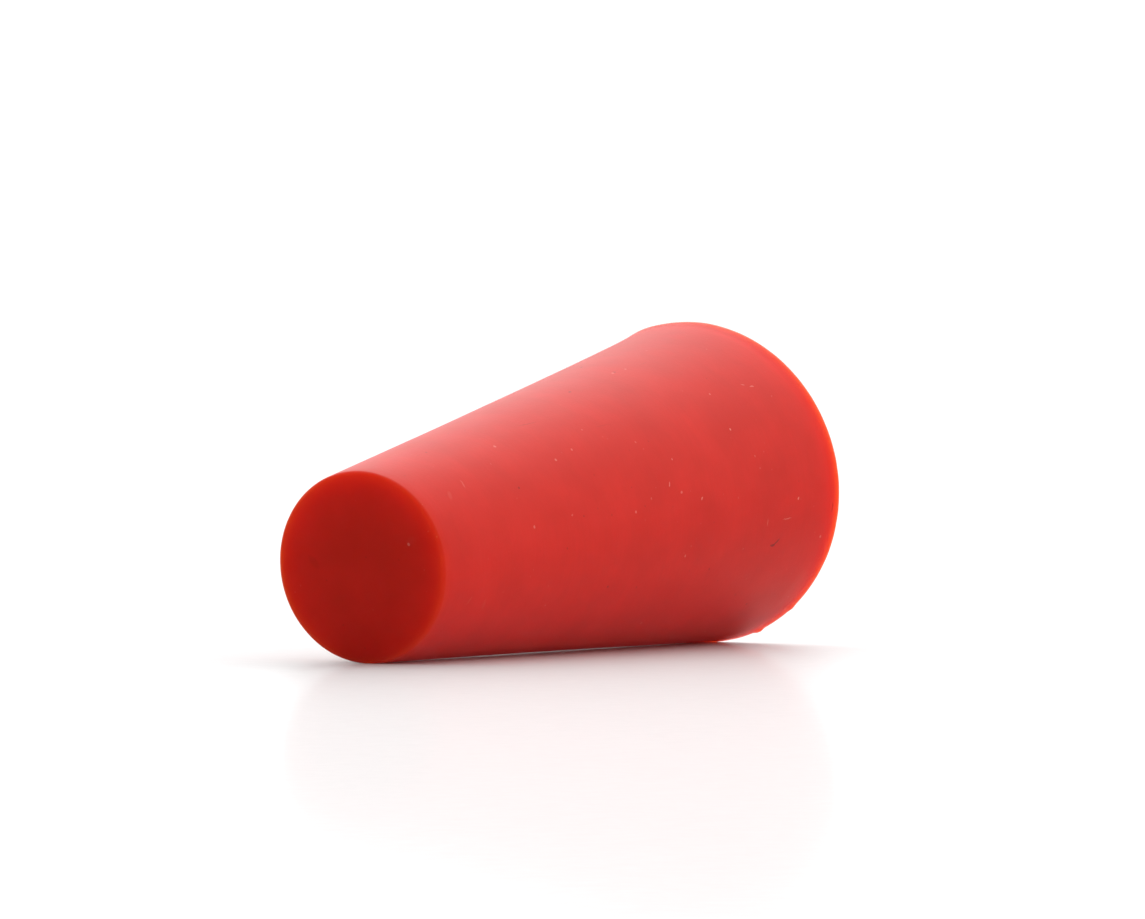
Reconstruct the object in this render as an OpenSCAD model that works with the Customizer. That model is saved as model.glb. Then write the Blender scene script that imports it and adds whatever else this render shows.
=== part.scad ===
// Small solid stopper for a neck or a tube, moulded from red rubber in one piece.
// It stands on its wide end, with its narrow end up. The origin is the centre of the
// wide end's flat face, and +Z runs along the stopper's own axis.

/* [Ends] */
// Diameter of the wide end, to the sharp corner that its rim is rounded from
wide_d = 12.5; // [8:0.5:40]
// Diameter of the narrow end, to the sharp corner that its edge is rounded from
narrow_d = 7; // [4:0.5:36]

/* [Length] */
// Length from the wide end's face to the narrow end's face
stopper_l = 25; // [10:1:60]

/* [Edges] */
// Rounding radius of the wide end's rim
wide_edge_r = 0.05; // [0.05:0.05:0.5]
// Rounding radius of the narrow end's edge
narrow_edge_r = 0.15; // [0.05:0.05:1]

/* [Wall] */
// How deep the wall is hollowed half-way along, where the rubber shrank in its mould
wall_sink = 0.04; // [0:0.01:0.2]

/* [Hidden] */
$fn = 180;
// Steps in each edge's rounding, and in the wall's hollow
EDGE_STEPS = 6;
WALL_STEPS = 12;
rubber_red = [0.78, 0.2, 0.16];

// The taper: how far the straight wall leans from the axis, and the way that it faces
lean = atan((wide_d - narrow_d) / 2 / stopper_l);
wall_normal = [cos(lean), sin(lean)];

// Centre of the rounding of radius r that touches the straight wall at about height z
function edge_centre(r, z) = [wide_d / 2 - z * tan(lean) - r / cos(lean), z];

wide_centre = edge_centre(wide_edge_r, wide_edge_r);
narrow_centre = edge_centre(narrow_edge_r, stopper_l - narrow_edge_r);

// Points of an edge's rounding, turned from one angle to another
function edge_arc(centre, r, from, to) = [
    for (i = [0:EDGE_STEPS])
        let (a = from + (to - from) * i / EDGE_STEPS)
        centre + r * [cos(a), sin(a)]
];

wide_arc = edge_arc(wide_centre, wide_edge_r, -90, lean);
narrow_arc = edge_arc(narrow_centre, narrow_edge_r, lean, 90);

// Points of the wall between the two roundings, deepest half-way along
wall_curve = [
    for (i = [1:WALL_STEPS - 1])
        let (t = i / WALL_STEPS, depth = 4 * t * (1 - t) * wall_sink)
        wide_arc[EDGE_STEPS] * (1 - t) + narrow_arc[0] * t - depth * wall_normal
];

// Half of the stopper's section, from the axis at the wide end round to the axis again
half_section = concat([[0, 0]], wide_arc, wall_curve, narrow_arc, [[0, stopper_l]]);

module stopper() {
    color(rubber_red) rotate_extrude() polygon(half_section);
}

stopper();
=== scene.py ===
"""A small solid stopper of red rubber, lying on its wall on a pale table in soft studio light.

The stopper stands on its wide end in its own frame, so the table and the camera are turned
to it: the table touches the wall along one line, and the narrow end faces the camera.
"""
import math

import bmesh
import bpy
from mathutils import Matrix, Vector, noise


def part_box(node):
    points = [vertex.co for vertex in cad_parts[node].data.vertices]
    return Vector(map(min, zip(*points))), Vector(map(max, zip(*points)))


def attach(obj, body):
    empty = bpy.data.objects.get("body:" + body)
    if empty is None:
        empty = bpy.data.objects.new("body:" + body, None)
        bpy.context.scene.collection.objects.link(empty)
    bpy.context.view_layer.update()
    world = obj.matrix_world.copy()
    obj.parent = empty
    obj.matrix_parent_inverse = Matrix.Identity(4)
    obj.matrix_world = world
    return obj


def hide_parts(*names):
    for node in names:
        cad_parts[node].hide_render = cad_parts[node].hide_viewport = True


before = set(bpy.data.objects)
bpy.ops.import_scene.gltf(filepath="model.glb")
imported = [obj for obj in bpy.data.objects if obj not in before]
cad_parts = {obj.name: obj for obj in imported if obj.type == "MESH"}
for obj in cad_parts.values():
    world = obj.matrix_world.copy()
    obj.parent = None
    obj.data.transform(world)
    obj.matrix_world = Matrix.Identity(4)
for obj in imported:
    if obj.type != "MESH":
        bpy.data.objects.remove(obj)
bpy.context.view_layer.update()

# The stopper: one moulding of red rubber. A cone is rounded at both ends and cut into
# rings, and each ring is drawn to the wall's true radius, which is hollowed a little
# half-way along and stands out again in a thin lip of flash round the wide end.
mm = 0.001
foot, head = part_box("stopper")
skin = 0.012 * mm  # kept clear inside the stopper's box, for the faces' unevenness
base_z = foot[2] + skin
top_z = head[2] - skin
length = top_z - base_z
rim_r = head[0] - skin
narrow_r = 3.5 * mm
wide_edge_r = 0.05 * mm
narrow_edge_r = 0.15 * mm
wall_sink = 0.04 * mm
lip_h = 0.3 * mm
lip_step = 0.018 * mm  # how far the lip stands out from the wall above it
lip_fade = 2.5 * mm  # how far up the wall that step is lost
lean = math.atan((rim_r - narrow_r) / length)
round_steps = 480
edge_steps = 6
ring_step = 0.5 * mm
end_band = 0.1 * mm  # width of the first ring inside an end face's edge
tiny = 0.002 * mm  # heights closer than this count as the same


def wall_radius(z):
    """Radius of the wall at height z: the taper, less its hollow and the step at the lip."""
    t = (z - base_z) / length
    hollow = 4 * t * (1 - t) * wall_sink
    over_lip = max(0, z - base_z - lip_h)
    step = lip_step * math.exp(-over_lip / lip_fade) if over_lip else 0
    return rim_r + (narrow_r - rim_r) * t - hollow - step


def pick(parts, test):
    """Selects, of a mesh's vertices, edges or faces, those that pass a test, and no others."""
    bpy.ops.mesh.select_all(action="DESELECT")
    mesh = bmesh.from_edit_mesh(bpy.context.object.data)
    for part in getattr(mesh, parts):
        if test(part):
            part.select_set(True)
    mesh.select_flush_mode()
    bmesh.update_edit_mesh(bpy.context.object.data)


bpy.ops.object.select_all(action="DESELECT")
bpy.ops.mesh.primitive_cone_add(
    vertices=round_steps,
    radius1=rim_r,
    radius2=narrow_r,
    depth=length,
    end_fill_type="NGON",
    location=(0, 0, (base_z + top_z) / 2),
)
stopper = bpy.context.object
stopper.name = "moulded_stopper"
bpy.ops.object.transform_apply(location=True, rotation=True, scale=True)
bpy.ops.object.mode_set(mode="EDIT")
bpy.ops.mesh.select_mode(type="EDGE")
for end_z, edge_r, corner in (
    (top_z, narrow_edge_r, math.pi / 2 + lean),
    (base_z, wide_edge_r, math.pi / 2 - lean),
):
    pick("edges", lambda e: all(abs(v.co.z - end_z) < tiny for v in e.verts))
    setback = edge_r / math.tan(corner / 2)
    bpy.ops.mesh.bevel(offset=setback, segments=edge_steps, profile=0.5, affect="EDGES")

# Rings closer together over the lip, then evenly up to the narrow end's edge
ring_heights = [base_z + lip_h * part for part in (0.35, 0.7, 1.0, 1.3)]
while ring_heights[-1] < top_z - 2 * ring_step:
    ring_heights.append(ring_heights[-1] + ring_step)
for ring_z in ring_heights:
    bpy.ops.mesh.select_all(action="SELECT")
    bpy.ops.mesh.bisect(plane_co=(0, 0, ring_z), plane_no=(0, 0, 1))
bpy.ops.mesh.select_mode(type="VERT")
for ring_z in ring_heights:
    pick("verts", lambda v: abs(v.co.z - ring_z) < tiny)
    cone_r = rim_r + (narrow_r - rim_r) * (ring_z - base_z) / length
    draw = wall_radius(ring_z) / cone_r
    bpy.ops.transform.resize(value=(draw, draw, 1), center_override=(0, 0, ring_z))

# Both end faces in rings round a centre point, so that they can be a little uneven
bpy.ops.mesh.select_mode(type="FACE")
for end_z, end_r in ((top_z, narrow_r), (base_z, rim_r)):
    pick(
        "faces",
        lambda f: len(f.verts) == round_steps and abs(f.calc_center_median().z - end_z) < tiny,
    )
    bpy.ops.mesh.inset(thickness=end_band)
    for _ in range(int(end_r / ring_step) - 1):
        bpy.ops.mesh.inset(thickness=ring_step)
    bpy.ops.mesh.poke()

# The lip of flash: uneven all round, and proud where the mould leaked more. Each leak has
# its bearing, its half-width in degrees, how far it stands out and how far up it is lost.
leaks = [
    (135, 20, 0.02 * mm, 0.2 * mm), (158, 1.5, 0.08 * mm, 0.2 * mm), (156.4, 0.5, 0.05 * mm, 0.2 * mm),
    (174, 1.6, 0.04 * mm, 0.2 * mm), (225, 25, 0.025 * mm, 1.0 * mm), (318, 22, 0.05 * mm, 1.5 * mm),
    (334, 9, 0.07 * mm, 1.8 * mm), (345, 3, 0.03 * mm, 0.3 * mm), (60, 4, 0.03 * mm, 0.3 * mm),
    (15, 2, -0.02 * mm, 0.2 * mm),
]
leaks_end = 8 * mm  # the height above which no leak is felt
ragged = 0.006 * mm  # how far the lip wanders in and out
ragged_size = 0.6 * mm
shrunk = 0.004 * mm  # how far the lip as a whole is drawn in
flash = bmesh.from_edit_mesh(stopper.data)
for vert in flash.verts:
    out_r = math.hypot(vert.co.x, vert.co.y)
    above = vert.co.z - base_z
    if above > leaks_end or out_r < rim_r - above - 2 * wide_edge_r:
        continue
    bearing = math.degrees(math.atan2(vert.co.y, vert.co.x)) % 360
    proud = ragged * noise.noise(vert.co / ragged_size) - shrunk if above < lip_h else 0
    for leak_at, leak_half, leak_out, leak_up in leaks:
        away = (bearing - leak_at + 180) % 360 - 180
        proud += leak_out * math.exp(-((away / leak_half) ** 2) - above / leak_up)
    vert.co.x *= 1 + proud / out_r
    vert.co.y *= 1 + proud / out_r
bmesh.update_edit_mesh(stopper.data)

bpy.ops.mesh.select_all(action="SELECT")
bpy.ops.mesh.normals_make_consistent(inside=False)
bpy.ops.object.mode_set(mode="OBJECT")

# Long shallow waves and a finer unevenness, as moulded rubber has
for wave_name, wave_size, wave_deep in (("slow", 4 * mm, 0.012 * mm), ("fine", 0.7 * mm, 0.004 * mm)):
    clouds = bpy.data.textures.new(wave_name + "_waves", type="CLOUDS")
    clouds.noise_scale = wave_size
    waves = stopper.modifiers.new(wave_name, "DISPLACE")
    waves.texture = clouds
    waves.texture_coords = "LOCAL"
    waves.strength = wave_deep
    waves.mid_level = 0.5
    bpy.ops.object.modifier_apply(modifier=waves.name)
bpy.ops.object.shade_smooth()
even = stopper.modifiers.new("even_shading", "WEIGHTED_NORMAL")
bpy.ops.object.modifier_apply(modifier=even.name)


class Wire:
    """A socket among a material's nodes. Sums on it add Math nodes, and add() any other."""

    def __init__(self, tree, socket=None):
        self.tree = tree
        self.socket = socket

    def add(self, kind, settings, inputs, output=0):
        """Makes a node, gives it its settings, then its sockets' values or links."""
        node = self.tree.nodes.new("ShaderNode" + kind)
        for name, value in settings.items():
            setattr(node, name, value)
        for name, value in inputs.items():
            if isinstance(value, Wire):
                self.tree.links.new(value.socket, node.inputs[name])
            else:
                node.inputs[name].default_value = value
        return Wire(self.tree, node.outputs[output] if len(node.outputs) else None)

    def math(self, operation, *terms):
        """One Math node on numbers or sockets."""
        return self.add("Math", {"operation": operation}, dict(enumerate(terms)))

    def __add__(self, other):
        return self.math("ADD", self, other)

    def __sub__(self, other):
        return self.math("SUBTRACT", self, other)

    def __rsub__(self, other):
        return self.math("SUBTRACT", other, self)

    def __mul__(self, other):
        return self.math("MULTIPLY", self, other)

    __radd__ = __add__
    __rmul__ = __mul__

    def fade(self, low, high):
        """1 where this is at low, falling smoothly to 0 at high."""
        settings = {"interpolation_type": "SMOOTHSTEP"}
        inputs = {"Value": self, "From Min": low, "From Max": high, "To Min": 1.0, "To Max": 0.0}
        return self.add("MapRange", settings, inputs)

    def tint(self, other, share):
        """This colour, with a share of another mixed in."""
        return self.add("Mix", {"data_type": "RGBA"}, {0: share, 6: self, 7: other}, output=2)


# The rubber: a strong pigment red that lets red light creep a millimetre through it, with
# a faint mottle, the fine grain and turned rings of its mould, and the dust, scuffs and
# dark bits that cling to it. A patch of painted sheen lies low on the wall near the wide
# end, and painted shade lies in a nick at the lip and over the wide end and its lip.
rubber = bpy.data.materials.new("red_rubber")
rubber.use_nodes = True
rubber.node_tree.nodes.clear()
red = Wire(rubber.node_tree)
place = red.add("TexCoord", {}, {}, output="Object")
mottle = red.add("TexNoise", {}, {"Vector": place, "Scale": 520.0, "Detail": 6.0})
blotch = red.add("TexNoise", {}, {"Vector": place, "Scale": 140.0, "Detail": 2.0})
grain = red.add("TexNoise", {}, {"Vector": place, "Scale": 9000.0, "Detail": 3.0})
turned = red.add("Mapping", {}, {"Vector": place, "Scale": (0.06, 0.06, 1.0)})
rings = red.add("TexNoise", {}, {"Vector": turned, "Scale": 6000.0, "Detail": 2.0})
wander = red.add("TexNoise", {}, {"Vector": place, "Scale": 7000.0, "Detail": 1.0}, output="Color")
sway = 0.08 * mm  # how far a mark's edge wanders from a plain oval
stray = Vector((sway, sway, sway)) / 2
strayed = red.add(
    "VectorMath", {"operation": "MULTIPLY_ADD"}, {0: wander, 1: (sway,) * 3, 2: place})
mark_deep = 0.4 * mm  # how far into the rubber a mark is felt, so that it follows the wall
axis = Vector((0, 0, 1))
dust_and_sheen = 0.0
dirt_and_shade = 0.0


def mark(centre, out, slant, long, wide):
    """1 on a small mark on a surface that faces out, fading to 0 at its edge.

    At slant 0 the mark runs level.
    """
    level = axis.cross(out) if abs(out.z) < 0.9 else Vector((1, 0, 0))
    level.normalize()
    upward = out.cross(level)
    run = math.cos(slant) * level + math.sin(slant) * upward
    turn_to = Matrix((run, out.cross(run), out)).transposed().to_euler()
    settings = {"vector_type": "TEXTURE"}
    size = (long / 2, wide / 2, mark_deep)
    inputs = {"Vector": strayed, "Location": centre + stray, "Rotation": turn_to, "Scale": size}
    inside = red.add("Mapping", settings, inputs)
    from_middle = red.add("VectorMath", {"operation": "LENGTH"}, {0: inside}, output="Value")
    return from_middle.fade(0.4, 1.0)


def soil_or_paint_light(spot, strength):
    """Adds a spot to the pale dust and painted sheen or, where its strength is below 0, to the dark
    dirt and painted shade.
    """
    global dust_and_sheen, dirt_and_shade
    if strength > 0:
        dust_and_sheen = dust_and_sheen + strength * spot
    else:
        dirt_and_shade = dirt_and_shade - strength * spot


# Marks of the wall: the bearing, the height, the slant, the length and the width in
# degrees and millimetres, and how strong the mark is: pale above 0 and dark below it
wall_marks = [
    (255, 5.8, 0, 0.12, 0.10, 0.6), (250, 10.0, 20, 0.12, 0.09, 0.4),
    (240, 10.7, -22, 0.28, 0.07, 0.45), (231, 8.9, -40, 0.20, 0.10, 0.5),
    (262, 11.5, 0, 0.12, 0.09, 0.2), (258, 11.3, 90, 0.12, 0.07, 0.12),
    (269, 2.9, 80, 0.34, 0.08, 0.35), (271, 3.3, 60, 0.24, 0.07, 0.25),
    (223, 2.7, -30, 0.16, 0.10, 0.5), (216, 3.4, 90, 0.70, 0.06, 0.3),
    (216, 4.7, 0, 0.40, 0.06, 0.2), (270, 22.0, -15, 0.50, 0.10, 0.14),
    (266, 23.1, -30, 0.55, 0.25, 0.05), (203, 23.2, -35, 0.50, 0.10, 0.06),
    (199, 22.2, 0, 0.60, 0.25, 0.03), (243, 4.4, 90, 0.12, 0.08, 0.1),
    (228, 6.6, 0, 0.12, 0.08, 0.1), (212, 9.6, 0, 0.10, 0.10, 0.1),
    (258, 19.3, 90, 0.16, 0.14, -0.55), (302, 11.3, 90, 0.20, 0.10, -0.6),
    (320, 7.6, 90, 0.18, 0.12, -0.8), (179, 3.8, 0, 0.12, 0.11, -0.6),
    (292, 15.6, 80, 1.5, 0.08, -0.22), (275, 12.4, 84, 1.1, 0.06, -0.12),
    (206.3, 4.12, 84, 0.40, 0.12, -0.8), (207.2, 3.92, -54, 0.60, 0.10, -0.8),
    # (217, 0.42) is painted shade: a dark dash of shadow in a small nick where the lip meets the wall
    (217, 0.42, 0, 0.5, 0.14, -0.7), (185, 5.2, 60, 0.12, 0.10, -0.3),
    (300, 6.2, 90, 0.7, 0.06, -0.15), (243, 13.0, 90, 0.1, 0.08, -0.3),
    # (184, 1.1) is painted sheen: a broad faint pale patch low on the wall near the wide end, where
    # light from behind falls
    (184, 1.1, 0, 2.6, 1.3, 0.04), (200, 8.0, 30, 0.14, 0.12, -0.4),
    (222, 17.5, 60, 0.14, 0.12, -0.35), (196, 12.5, 10, 0.16, 0.10, -0.35),
    (233, 14.6, 0, 0.12, 0.10, -0.3),
]
for bearing, height, slant, long, wide, strength in wall_marks:
    round_by = math.radians(bearing)
    outward = Vector((math.cos(round_by), math.sin(round_by), 0))
    out = math.cos(lean) * outward + math.sin(lean) * axis
    mark_z = base_z + height * mm
    centre = wall_radius(mark_z) * outward + mark_z * axis
    soil_or_paint_light(mark(centre, out, math.radians(slant), long * mm, wide * mm), strength)

# Marks of the two end faces: the bearing, the distance from the centre, then as above
narrow_end_marks = [
    (250, 2.4, 60, 0.6, 0.35, 0.015), (40, 2.0, 0, 0.8, 0.4, -0.12), (150, 1.6, 20, 0.12, 0.1, 0.03),
]
wide_end_marks = [
    (20, 3.2, 40, 0.9, 0.12, 0.1), (140, 4.4, 100, 0.3, 0.2, -0.3), (260, 1.9, 70, 0.16, 0.12, 0.3),
]
for end_z, end_marks in ((top_z, narrow_end_marks), (base_z, wide_end_marks)):
    for bearing, from_axis, slant, long, wide, strength in end_marks:
        round_by = math.radians(bearing)
        outward = Vector((math.cos(round_by), math.sin(round_by), 0))
        centre = from_axis * mm * outward + end_z * axis
        soil_or_paint_light(mark(centre, axis, math.radians(slant), long * mm, wide * mm), strength)

# A sparse scatter of finer dust and dark bits all over: how many there are to a metre, how
# much of the room between them one fills, and its strength
specks = [(800.0, 0.06, 0.3), (1500.0, 0.07, 0.06), (520.0, 0.035, -0.5), (1300.0, 0.06, -0.2)]
for speck_scale, speck_size, strength in specks:
    near = red.add("TexVoronoi", {}, {"Vector": strayed, "Scale": speck_scale}, output="Distance")
    soil_or_paint_light(near.fade(speck_size / 2, speck_size), strength)

# Painted shade in blotches over the wide end and the lip, so that less red light glows through the rim
level_z = red.add("SeparateXYZ", {}, {0: place}, output="Z")
soil_or_paint_light(blotch * level_z.fade(base_z + 0.1 * mm, base_z + 0.8 * mm), -1.2)

colour = red.add("Mix", {"data_type": "RGBA"},
                 {0: mottle, 6: (0.51, 0.0065, 0.0055, 1), 7: (0.72, 0.0130, 0.0105, 1)}, output=2)
colour = colour.tint((0.52, 0.009, 0.004, 1), 0.1 * rings.fade(0.62, 0.4))
# Pale dust, and the patch of painted sheen near the wide end
colour = colour.tint((0.85, 0.36, 0.29, 1), red.math("MINIMUM", dust_and_sheen, 1.0))
# Dark dirt and bits, and the painted shade in the nick, over the wide end and along the lip
colour = colour.tint((0.16, 0.003, 0.003, 1), red.math("MINIMUM", dirt_and_shade, 1.0))
relief_deep = 0.006 * mm
relief = red.add(
    "Bump", {}, {"Height": grain + 0.15 * rings, "Strength": 0.5, "Distance": relief_deep})
red.add("OutputMaterial", {}, {"Surface": red.add(
    "BsdfPrincipled",
    {"subsurface_method": "RANDOM_WALK_SKIN"},
    {
        "Base Color": colour,
        "Roughness": 0.38 + 0.1 * blotch + 0.2 * dust_and_sheen,
        "IOR": 1.35,
        "Specular IOR Level": 0.26,
        "Specular Tint": (1.0, 0.66, 0.25, 1),
        "Subsurface Weight": 1.0,
        "Subsurface Radius": (1.0, 0.09, 0.03),
        "Subsurface Scale": 1.3 * mm,
        "Subsurface Anisotropy": 0.3,
        "Normal": relief,
    },
)})
stopper.data.materials.append(rubber)
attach(stopper, "root")
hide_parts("stopper")

# The table: a broad sheet of pale satin plastic with a faint grain, under the wall's lowest
# line. It looks solid from above, but it lets a share of the soft light below it through,
# and from behind it can be seen through.
rest_bearing = math.radians(135)
down = Vector((math.cos(rest_bearing), math.sin(rest_bearing), 0))
rest_narrow = narrow_r * down + top_z * axis
rest_wide = rim_r * down + base_z * axis
rest_middle = (rest_narrow + rest_wide) / 2
press = 0.005 * mm  # how far the rubber gives where it bears on the table
light_let_through = 0.22  # share of the diffuse and shadow rays that pass the sheet
table_width = 2.4
table_along = (rest_wide - rest_narrow).normalized()
table_across = axis.cross(down).normalized()
table_up = table_across.cross(table_along)
bpy.ops.object.select_all(action="DESELECT")
bpy.ops.mesh.primitive_grid_add(x_subdivisions=2, y_subdivisions=2, size=table_width)
table = bpy.context.object
table.name = "table"
table_turn = Matrix((table_across, table_along, table_up)).transposed().to_4x4()
table.matrix_world = Matrix.Translation(rest_narrow - press * down) @ table_turn
bpy.ops.object.transform_apply(location=True, rotation=True, scale=True)
satin = bpy.data.materials.new("pale_satin")
satin.use_nodes = True
satin.node_tree.nodes.clear()
white = Wire(satin.node_tree)
behind = white.add("NewGeometry", {}, {}, output="Backfacing")
sheet_place = white.add("TexCoord", {}, {}, output="Object")
tooth = white.add("TexNoise", {}, {"Vector": sheet_place, "Scale": 1600.0, "Detail": 4.0})
pale = white.add("Mix", {"data_type": "RGBA"},
                 {0: tooth, 6: (0.69, 0.69, 0.69, 1), 7: (0.75, 0.75, 0.75, 1)}, output=2)
sheet = white.add("BsdfPrincipled", {}, {
    "Base Color": pale, "Roughness": 0.45, "IOR": 1.5, "Specular IOR Level": 0.2,
    "Coat Weight": 0.18, "Coat Roughness": 0.09})
clear = white.add("BsdfTransparent", {}, {})
diffuse_ray = white.add("LightPath", {}, {}, output="Is Diffuse Ray")
shadow_ray = white.add("LightPath", {}, {}, output="Is Shadow Ray")
soft_light = white.math("MAXIMUM", diffuse_ray, shadow_ray)
through = white.math("MAXIMUM", behind, light_let_through * soft_light)
satin_look = white.add("MixShader", {}, {0: through, 1: sheet, 2: clear})
white.add("OutputMaterial", {}, {"Surface": satin_look})
table.data.materials.append(satin)

# The camera: a long lens a little above the table, with the stopper's axis turned away
# from it to the right and its narrow end nearest.
turn = math.radians(30.15)
tip = math.radians(0.793)
eye_back = 298.0 * mm
eye_aside = 1.128 * mm
eye_up = 11.355 * mm
heading = math.cos(turn) * table_along - math.sin(turn) * table_across
sideways = heading.cross(table_up)
eye = rest_middle - eye_back * heading + eye_aside * sideways + eye_up * table_up
look = math.cos(tip) * heading - math.sin(tip) * table_up
look_up = math.sin(tip) * heading + math.cos(tip) * table_up
lens = bpy.data.cameras.new("camera")
lens.lens = 250
lens.sensor_width = 36
lens.clip_start = 0.01
camera = bpy.data.objects.new("camera", lens)
bpy.context.scene.collection.objects.link(camera)
camera_turn = Matrix((sideways, look_up, -look)).transposed().to_4x4()
camera.matrix_world = Matrix.Translation(eye) @ camera_turn
bpy.context.scene.camera = camera

# The light: a white room, brightest high behind the stopper, that also lights it from
# above and from its right, with a little from below and from the camera's side. There
# are no lamps.
studio = bpy.data.worlds.new("studio")
studio.use_nodes = True
studio.node_tree.nodes.clear()
bpy.context.scene.world = studio
room = Wire(studio.node_tree)
way = room.add("TexCoord", {}, {}, output="Generated")


def towards(direction, spread):
    """How much a ray of the room points in a direction: 1 along it, 0 square to it."""
    direction = direction.normalized()
    inputs = {0: way, 1: direction}
    dot = room.add("VectorMath", {"operation": "DOT_PRODUCT"}, inputs, output="Value")
    return room.math("POWER", room.math("MAXIMUM", dot, 0.0), spread)


brightness = (
    0.05
    + 0.12 * towards(-table_up, 1.0)
    + 0.08 * towards(-heading, 1.0)
    + 0.58 * towards(table_up, 1.0)
    + 0.36 * towards(heading, 1.0)
    + 0.84 * towards(sideways, 1.0)
    + 2.0 * towards(heading + table_up, 4.0)
    + 0.13 * towards(heading + 0.15 * table_up, 8.0)
    + 0.4 * towards(sideways + 0.6 * table_up, 4.0)
    + 0.4 * towards(sideways + heading + 0.2 * table_up, 8.0)
)
room.add("OutputWorld", {}, {"Surface": room.add(
    "Background", {}, {"Color": (1, 1, 1, 1), "Strength": brightness})})
bpy.context.scene.view_settings.view_transform = "Standard"
